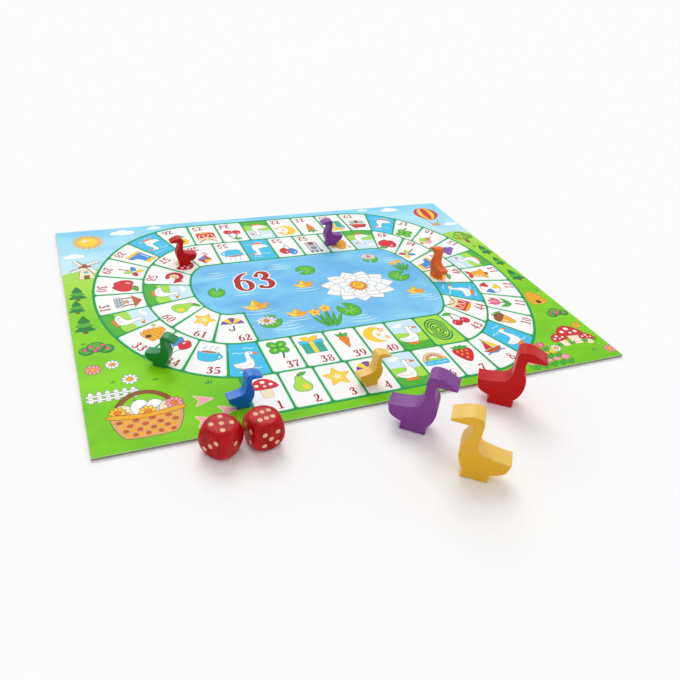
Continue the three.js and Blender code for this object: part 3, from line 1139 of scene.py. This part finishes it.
def inside(points, ring):
    """Which points lie inside the ring, by how often it winds round them."""
    x, y = points[:, :1], points[:, 1:]
    x0, y0 = ring.T
    x1, y1 = np.roll(ring, -1, axis=0).T
    side = (x1 - x0) * (y - y0) - (x - x0) * (y1 - y0)
    up = (y0 <= y) & (y1 > y) & (side > 0)
    down = (y0 > y) & (y1 <= y) & (side < 0)
    return up.sum(axis=1) != down.sum(axis=1)


def meshed(corners, edges, least):
    """Points and triangles of an area that the edges divide. Points nearer than the least become one."""
    found = delaunay_2d_cdt([Vector(p) for p in corners], edges, [], 0, least, False)
    return np.array([p[:] for p in found[0]]), np.array(found[2])


def loop_edges(first, count):
    """Pairs of numbers that join so many points in a ring."""
    return [(first + k, first + (k + 1) % count) for k in range(count)]


def arrange(areas, half_length, half_width):
    """Points, triangles and inks of one flat sheet in which no two areas overlap."""
    corners = []
    edges = []
    for _, ring, _ in areas:
        edges.extend(loop_edges(len(corners), len(ring)))
        corners.extend(ring)
    points, triangles = meshed(corners, edges, SHEET_WELD)
    middles = points[triangles].mean(axis=1)
    kept = (np.abs(middles[:, 0]) < half_length) & (np.abs(middles[:, 1]) < half_width)
    triangles, middles = triangles[kept], middles[kept]
    inks = np.zeros(len(triangles), int)
    names = sorted({ink for ink, _, _ in areas})
    for ink, ring, limit in areas:
        low, high = ring.min(axis=0), ring.max(axis=0)
        near = np.flatnonzero(np.all((middles >= low) & (middles <= high), axis=1))
        hit = near[inside(middles[near], ring)]
        if limit is not None:
            hit = hit[inside(middles[hit], limit)]
        inks[hit] = names.index(ink)
    return points, triangles, inks, names


def sheet_mesh(points, triangles, bottom, top):
    """A closed sheet with the triangles on its top face."""
    used = np.unique(triangles)
    renumber = np.full(len(points), -1)
    renumber[used] = np.arange(len(used))
    points, triangles = points[used], renumber[triangles]
    sides = np.concatenate([triangles[:, [0, 1]], triangles[:, [1, 2]], triangles[:, [2, 0]]])
    there = {tuple(side) for side in sides}
    rim = {a: b for a, b in there if (b, a) not in there}
    loop = [next(iter(rim))]
    while rim[loop[-1]] != loop[0]:
        loop.append(rim[loop[-1]])
    low = {a: len(points) + k for k, a in enumerate(loop)}
    places = [(x * MM, y * MM, top) for x, y in points]
    places.extend((points[a][0] * MM, points[a][1] * MM, bottom) for a in loop)
    faces = [tuple(t) for t in triangles]
    faces.extend((a, low[a], low[rim[a]], rim[a]) for a in loop)
    faces.append(tuple(low[a] for a in reversed(loop)))
    return new_mesh("board_print", places, faces)


def map_sheet(mesh, half_length, half_width):
    """A flat map: the top fills it but for a strip, which holds the edges and the underside."""
    layer = mesh.uv_layers.new(name="OFBake")
    for face in mesh.polygons:
        for corner in face.loop_indices:
            x, y, _ = mesh.vertices[mesh.loops[corner].vertex_index].co
            u, v = (x / MM / half_length + 1) / 2, (y / MM / half_width + 1) / 2
            v = MAP_STRIP + (1 - MAP_STRIP) * v if face.normal.z > 0.5 else 0.8 * MAP_STRIP * v
            layer.data[corner].uv = (u, v)


# Materials

def connect(tree, socket, value):
    """Links a socket to an output, or gives it a constant value."""
    if isinstance(value, bpy.types.NodeSocket):
        tree.links.new(value, socket)
    else:
        socket.default_value = value


def combined(tree, operation, *values):
    """The output of a math node."""
    node = tree.nodes.new("ShaderNodeMath")
    node.operation = operation
    for k, value in enumerate(values):
        connect(tree, node.inputs[k], value)
    return node.outputs[0]


class Look:
    """A material under construction, with its shader and its texture coordinates."""

    def __init__(self, name):
        self.material = bpy.data.materials.new(name)
        self.material.use_nodes = True
        self.tree = self.material.node_tree
        self.shader = self.tree.nodes["Principled BSDF"]
        self.coordinates = self.add("TexCoord", "Object")

    def fill(self, node, inputs):
        """Gives a node's inputs, named with _ for each space, their values or links."""
        for name, value in inputs.items():
            connect(self.tree, node.inputs[name.replace("_", " ")], value)

    def set(self, **inputs):
        """Values or links on the shader's own sockets."""
        self.fill(self.shader, inputs)

    def add(self, kind, output, **inputs):
        """One output of a new node."""
        node = self.tree.nodes.new("ShaderNode" + kind)
        self.fill(node, inputs)
        return node.outputs[output]

    def noise(self, scale, detail, roughness, distortion=0.0):
        """A noise whose scale is given for each axis, in repeats to the metre."""
        place = self.add("Mapping", "Vector", Vector=self.coordinates, Scale=scale)
        fineness = {"Scale": 1.0, "Detail": detail, "Roughness": roughness, "Distortion": distortion}
        return self.add("TexNoise", "Fac", Vector=place, **fineness)

    def between(self, source, low, high, to_low, to_high):
        limits = {"From_Min": low, "From_Max": high, "To_Min": to_low, "To_Max": to_high}
        return self.add("MapRange", "Result", Value=source, **limits)

    def colours(self, source, *stops):
        """A colour ramp over a value, as pairs of position and sRGB code."""
        node = self.tree.nodes.new("ShaderNodeValToRGB")
        elements = node.color_ramp.elements
        while len(elements) < len(stops):
            elements.new(0.5)
        for element, (position, code) in zip(elements, stops):
            element.position = position
            element.color = linear(code)
        self.fill(node, {"Fac": source})
        return node.outputs["Color"]

    def attribute(self, name):
        node = self.tree.nodes.new("ShaderNodeAttribute")
        node.attribute_name = name
        return node.outputs["Fac"]

    def blend(self, share, first, second, mode="MIX"):
        node = self.tree.nodes.new("ShaderNodeMix")
        node.data_type = "RGBA"
        node.blend_type = mode
        for place, value in ((0, share), (6, first), (7, second)):
            connect(self.tree, node.inputs[place], value)
        return node.outputs[2]

    def bump(self, source, depth, strength):
        """Relief of the given depth in metres."""
        self.set(Normal=self.add("Bump", "Normal", Height=source, Distance=depth, Strength=strength))


def wash(look, low, high, stops, patch_scale, patch_share):
    """A run of colours up the sheet, loosened by soft patches."""
    height = look.add("SeparateXYZ", "Y", Vector=look.coordinates)
    run = look.colours(look.between(height, low * MM, high * MM, 0, 1), *stops)
    patches = look.noise((patch_scale, patch_scale * 1.7, 1), 3, 0.5, 0.6)
    return look.blend(look.between(patches, 0.35, 0.7, 0, patch_share), run, WHITE, "SOFT_LIGHT")


def ink_material(name):
    """Ink under the satin varnish and with the faint grain of coated printing paper."""
    look = Look("ink_" + name)
    look.set(Base_Color=wash(look, *WASHES[name]) if name in WASHES else linear(INKS[name]))
    grain = look.noise((900, 900, 900), 5, 0.6)
    look.bump(grain, 0.00002, 0.35)
    look.set(Roughness=look.between(grain, 0.3, 0.7, 0.42, 0.56), Specular_IOR_Level=0.13)
    look.set(Coat_Weight=0.03, Coat_Roughness=0.3)
    return look.material


def card_material():
    """Grey pulp board: flecked fibres, laid flat, and a rough cut."""
    look = Look("greyboard")
    fibres = look.noise((500, 500, 6000), 6, 0.65)
    flecks = look.noise((2600, 2600, 2600), 2, 0.5)
    body = look.colours(fibres, (0.3, "6F6F5A"), (0.5, "8C8C73"), (0.72, "A8A68E"))
    look.set(Base_Color=look.blend(look.between(flecks, 0.6, 0.75, 0, 0.5), body, linear("C9C6B2")))
    look.bump(fibres, 0.00012, 0.8)
    look.set(Roughness=0.92, Specular_IOR_Level=0.2)
    return look.material


def back_paper_material():
    """Uncoated lining paper with a faint mottle."""
    look = Look("back_paper")
    mottle = look.noise((240, 240, 240), 5, 0.6)
    look.set(Base_Color=look.colours(mottle, (0.3, "E7E4DA"), (0.7, "F6F4EC")))
    look.bump(look.noise((1800, 1800, 1800), 3, 0.6), 0.00003, 0.5)
    look.set(Roughness=0.85, Specular_IOR_Level=0.25)
    return look.material


def lacquer_material(name, dark, body, wear_and_sheen_tint, sheen, painted_sheen_share):
    """Coloured lacquer on wood with worn edges. The outline walls, tops included, carry a painted sheen: they
    are painted paler than the cut faces.
    """
    look = Look(name)
    # The pale tint serves both the worn spots and the painted sheen on the tops.
    wear_and_sheen_tint = linear(wear_and_sheen_tint)
    patches = look.noise((90, 60, 90), 3, 0.5)
    tone = look.colours(look.noise((620, 46, 620), 5, 0.6, 0.4), (0.3, dark), (0.6, body))
    tone = look.blend(look.between(patches, 0.4, 0.75, 0, 0.12), tone, wear_and_sheen_tint)
    # Painted sheen: where the side attribute nears 1, on the outline walls that hold the tops, the tone is
    # painted paler towards the pale tint.
    tone = look.blend(look.between(look.attribute("side"), 0, 1, 0, painted_sheen_share), tone, wear_and_sheen_tint)
    rubbed = look.between(look.noise((420, 420, 420), 4, 0.6), 0.42, 0.62, 0.0, 0.55)
    thin = combined(look.tree, "MULTIPLY", look.attribute("edge"), rubbed)
    look.set(Base_Color=look.blend(thin, tone, wear_and_sheen_tint), Specular_IOR_Level=sheen)
    look.set(Roughness=look.between(patches, 0.3, 0.7, 0.28, 0.4))
    look.bump(look.noise((700, 60, 700), 4, 0.6), 0.00003, 0.3)
    return look.material


def dice_material():
    """Red lacquer on wood with darker streaks of grain."""
    look = Look("lacquer_dice")
    streaks = look.noise((170, 170, 24), 4, 0.55, 0.9)
    look.set(Base_Color=look.colours(streaks, (0.3, "8C080E"), (0.46, "B61018"), (0.7, "C6151F")))
    look.set(Roughness=look.between(look.noise((160, 160, 160), 4, 0.6), 0.3, 0.7, 0.18, 0.27))
    look.bump(streaks, 0.00004, 0.3)
    look.set(Specular_IOR_Level=0.12)
    return look.material


def pip_material():
    look = Look("pip_paint")
    daub = look.noise((1300, 1300, 1300), 4, 0.6)
    look.set(Base_Color=look.colours(daub, (0.3, "E3A57E"), (0.55, "F2C09B"), (0.8, "F8D3B4")), Roughness=0.5)
    look.bump(daub, 0.00006, 0.6)
    return look.material


# Pieces

def new_mesh(name, places, faces):
    mesh = bpy.data.meshes.new(name)
    mesh.from_pydata(places, [], faces)
    return mesh


def add_object(name, data, place=Matrix()):
    thing = bpy.data.objects.new(name, data)
    bpy.context.scene.collection.objects.link(thing)
    thing.matrix_world = place
    return thing


def add_piece(mesh, body, node, place=Matrix()):
    """An object for the mesh, and under its name, in place of a CAD node."""
    piece = add_object(mesh.name, mesh, place)
    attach(piece, body)
    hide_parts(node)


def node_box(node):
    """The lowest and the highest corner of a CAD node."""
    return (Vector(corner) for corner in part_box(node))


def turned(degrees):
    return Matrix.Rotation(math.radians(degrees), 4, "Z")


def dress_board():
    low, high = node_box("board_face_sheet")
    half_length, half_width = (high.x - low.x) / 2 / MM, (high.y - low.y) / 2 / MM
    pen = Pen([])
    draw_land(pen, half_length, half_width)
    pen.area("line", track_ring())
    for index in range(1, SQUARES + 1):
        draw_square(pen, index)
    draw_pond(pen)
    points, triangles, inks, names = arrange(pen.areas, half_length, half_width)
    mesh = sheet_mesh(points, triangles, low.z, high.z)
    for name in names:
        mesh.materials.append(ink_material(name))
    paper = [names.index("white")] * (len(mesh.polygons) - len(triangles))
    mesh.polygons.foreach_set("material_index", list(inks) + paper)
    map_sheet(mesh, half_length, half_width)
    add_piece(mesh, "board", "board_face_sheet")
    for node, material in (("board_core", card_material()), ("board_back_sheet", back_paper_material())):
        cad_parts[node].data.materials.clear()
        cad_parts[node].data.materials.append(material)


def pawn_mesh(name, height):
    """A slice of the goose moulding, upright in XZ, with rounded edges. Sizes in millimetres."""
    outline = goose_outline(height, 14)
    normals, sharp = corner_normals(outline), turnings(outline) > SHARP_TURN
    round_by = PAWN_EDGE_ROUND * height
    half = PAWN_THICKNESS * height / 2
    arc = np.radians(np.linspace(0, 90, EDGE_ROWS))
    rows = [(round_by * (1 - math.sin(a)), -half + round_by * (1 - math.cos(a)), a) for a in arc]
    rows.append((0, -half + WORN_REACH * round_by, arc[-1]))
    rows += [(inset, -across, a) for inset, across, a in reversed(rows)]
    places, edge, side = [], [], []
    for inset, across, a in rows:
        ring = round_corners(outline - inset * normals, PAWN_CORNER_ROUND * height, sharp=sharp)
        places.extend((x * MM, across * MM, z * MM) for x, z in ring)
        edge.extend([math.sin(2 * a)] * len(ring))
        # side runs from 0 on the cut faces to 1 on the outline walls; the lacquer uses it to paint a painted
        # sheen on the tops.
        side.extend([math.sin(a)] * len(ring))
    count = len(places) // len(rows)
    faces = []
    for first in range(0, len(places) - count, count):
        faces.extend((a, a + count, b + count, b) for a, b in loop_edges(first, count))
    faces.append(tuple(range(count)))
    faces.append(tuple(reversed(range(len(places) - count, len(places)))))
    mesh = new_mesh(name, places, faces)
    mesh.polygons.foreach_set("use_smooth", [True] * (len(faces) - 2) + [False, False])
    for attribute, values in (("edge", edge), ("side", side)):
        mesh.attributes.new(attribute, "FLOAT", "POINT").data.foreach_set("value", values)
    return mesh


# Each colour's dark and plain tones, its paler tone where the coat is worn thin and for the painted sheen,
# its sheen, and how much painted sheen lies on the outline walls
PAWN_LACQUERS = {
    "red": ("B80408", "C8050A", "D2424A", 0.15, 0.0),
    "purple": ("742F84", "803892", "A078B6", 0.28, 0.0),
    "orange": ("EC5C0A", "FA680C", "F6A468", 0.2, 0.08),
    "green": ("0A7028", "0C7E30", "4FA574", 0.3, 0.25),
    "blue": ("0460CC", "056CE0", "5A97DA", 0.3, 0.25),
    "yellow": ("E2A604", "EBB008", "F5D67C", 0.4, 0.45),
}


def dress_pawns():
    looks = {}
    for colour, values in PAWN_LACQUERS.items():
        looks[colour] = lacquer_material("lacquer_" + colour, *values)
    for node, turn in PAWN_TURNS.items():
        low, high = node_box(node)
        height = (high.z - low.z) / MM
        colour = node.rsplit("_", 1)[1]
        mesh = pawn_mesh(node + "_slice", height)
        mesh.materials.append(looks[colour])
        across = goose_outline(height)[:, 0]
        off_middle = (across.min() + across.max()) / 2 * MM
        middle = (low + high) / 2 - turned(turn) @ Vector((off_middle, 0, 0))
        place = Matrix.Translation((middle.x, middle.y, low.z)) @ turned(turn)
        add_piece(mesh, node, node, place)


PIPS = {
    1: [(0, 0)],
    2: [(-1, -1), (1, 1)],
    3: [(-1, -1), (0, 0), (1, 1)],
    4: [(-1, -1), (-1, 1), (1, -1), (1, 1)],
    5: [(-1, -1), (-1, 1), (0, 0), (1, -1), (1, 1)],
    6: [(x, y * SIX_ROW_STRETCH) for x in (-1, 0, 1) for y in (-0.5, 0.5)],
}
# How each side of a die is turned from the top
DIE_SIDES = {
    "top": (0, "X"),
    "bottom": (180, "X"),
    "front": (90, "X"),
    "back": (-90, "X"),
    "left": (-90, "Y"),
    "right": (90, "Y"),
}


def die_face(count, half):
    """One side of a die as points on a square, triangles, hollows and which triangles lie in a pip."""
    radius = PIP_DIAMETER / 2
    lines = half * np.tan(np.radians(np.linspace(-45, 45, DIE_LINES)))
    middles = np.array(PIPS[count], float) * PIP_PITCH
    grid = [(x, y) for x in lines for y in lines]
    corners = [p for p in grid if np.linalg.norm(middles - p, axis=1).min() > radius + PIP_MARGIN]
    edges = []
    for x, y in middles:
        for share in PIP_RINGS:
            edges.extend(loop_edges(len(corners), PIP_RING_POINTS))
            corners.extend(oval(x, y, radius * share, count=PIP_RING_POINTS))
        corners.append((x, y))
    points, triangles = meshed(corners, edges, DIE_WELD)
    away = np.linalg.norm(points[:, None] - middles[None], axis=2).min(axis=1)
    depth = PIP_DEPTH * np.clip(1 - (away / radius) ** 2, 0, None)
    in_pip = away[triangles].max(axis=1) < radius * PIP_PAINT_REACH
    return points, triangles, depth, in_pip


def die_mesh(name, edge, faces):
    """A cube turned down to a ball with softened rims, and a dished, painted hollow for each pip."""
    places, triangles, painted = [], [], []
    for side, count in faces.items():
        points, corners, depth, in_pip = die_face(count, edge / 2)
        cube = np.column_stack([points, np.full(len(points), edge / 2)])
        far = np.linalg.norm(cube, axis=1, keepdims=True) / (DIE_BALL_DIAMETER / 2)
        surface = cube / (1 + far ** DIE_RIM_POWER) ** (1 / DIE_RIM_POWER)
        surface[:, 2] -= depth
        angle, axis = DIE_SIDES[side]
        turn = np.array(Matrix.Rotation(math.radians(angle), 3, axis))
        triangles.extend(corners + len(places))
        places.extend(surface @ turn.T)
        painted.extend(int(p) for p in in_pip)
    places, where = np.unique(np.round(places, 3), axis=0, return_inverse=True)
    triangles = where.ravel()[np.array(triangles)]
    mesh = new_mesh(name, [tuple(p) for p in places * MM], [tuple(t) for t in triangles])
    mesh.polygons.foreach_set("use_smooth", [True] * len(triangles))
    mesh.polygons.foreach_set("material_index", painted)
    return mesh


def dress_dice():
    materials = dice_material(), pip_material()
    for node, (turn, faces) in DICE.items():
        low, high = node_box(node)
        mesh = die_mesh(node + "_cube", (high.z - low.z) / MM, faces)
        for material in materials:
            mesh.materials.append(material)
        place = Matrix.Translation((low + high) / 2) @ turned(turn)
        add_piece(mesh, node, node, place)


# Studio

def add_floor():
    floor = box(-FLOOR_REACH, -FLOOR_REACH, FLOOR_REACH, FLOOR_REACH)
    mesh = new_mesh("studio_floor", [(x, y, 0) for x, y in floor], [(0, 1, 2, 3)])
    look = Look("studio_floor")
    look.set(Base_Color=WHITE, Roughness=0.95, Specular_IOR_Level=0.0)
    mesh.materials.append(look.material)
    add_object("studio_floor", mesh, Matrix.Translation((0, 0, -FLOOR_DROP)))


def add_light():
    """An even sky, a brighter backdrop where the sky is seen or mirrored, and one wide lamp."""
    world = bpy.data.worlds.new("studio")
    bpy.context.scene.world = world
    world.use_nodes = True
    tree = world.node_tree
    lights = (tree.nodes["Background"], SKY_LIGHT), (tree.nodes.new("ShaderNodeBackground"), BACKDROP_LIGHT)
    mix = tree.nodes.new("ShaderNodeMixShader")
    for k, (light, strength) in enumerate(lights, 1):
        light.inputs["Color"].default_value = WHITE
        light.inputs["Strength"].default_value = strength
        connect(tree, mix.inputs[k], light.outputs[0])
    rays = tree.nodes.new("ShaderNodeLightPath").outputs
    seen = rays["Is Camera Ray"]
    for name in ("Is Glossy Ray", "Is Transmission Ray"):
        seen = combined(tree, "MAXIMUM", seen, rays[name])
    connect(tree, mix.inputs["Fac"], seen)
    connect(tree, tree.nodes["World Output"].inputs["Surface"], mix.outputs[0])
    lamp = bpy.data.lights.new("softbox", "SUN")
    lamp.energy = LAMP_LIGHT
    lamp.angle = math.radians(LAMP_SPREAD)
    add_object("softbox", lamp, Vector(LAMP_WAY).to_track_quat("Z", "Y").to_matrix().to_4x4())


def add_camera():
    data = bpy.data.cameras.new("camera")
    data.sensor_width = SENSOR_WIDTH
    data.lens = FOCAL_PIXELS / IMAGE_SIZE * SENSOR_WIDTH
    data.shift_x = AXIS_LEFT_OF_MIDDLE / IMAGE_SIZE
    data.clip_start = CLIP_START * MM
    place, aim = Vector(CAMERA_PLACE) * MM, Vector(CAMERA_AIM) * MM
    level = (aim - place).to_track_quat("-Z", "Y").to_matrix().to_4x4()
    camera = add_object("camera", data, Matrix.Translation(place) @ level @ turned(CAMERA_ROLL))
    bpy.context.scene.camera = camera


add_camera()
add_light()
add_floor()
dress_board()
dress_pawns()
dress_dice()
bpy.context.scene.view_settings.view_transform = "Standard"
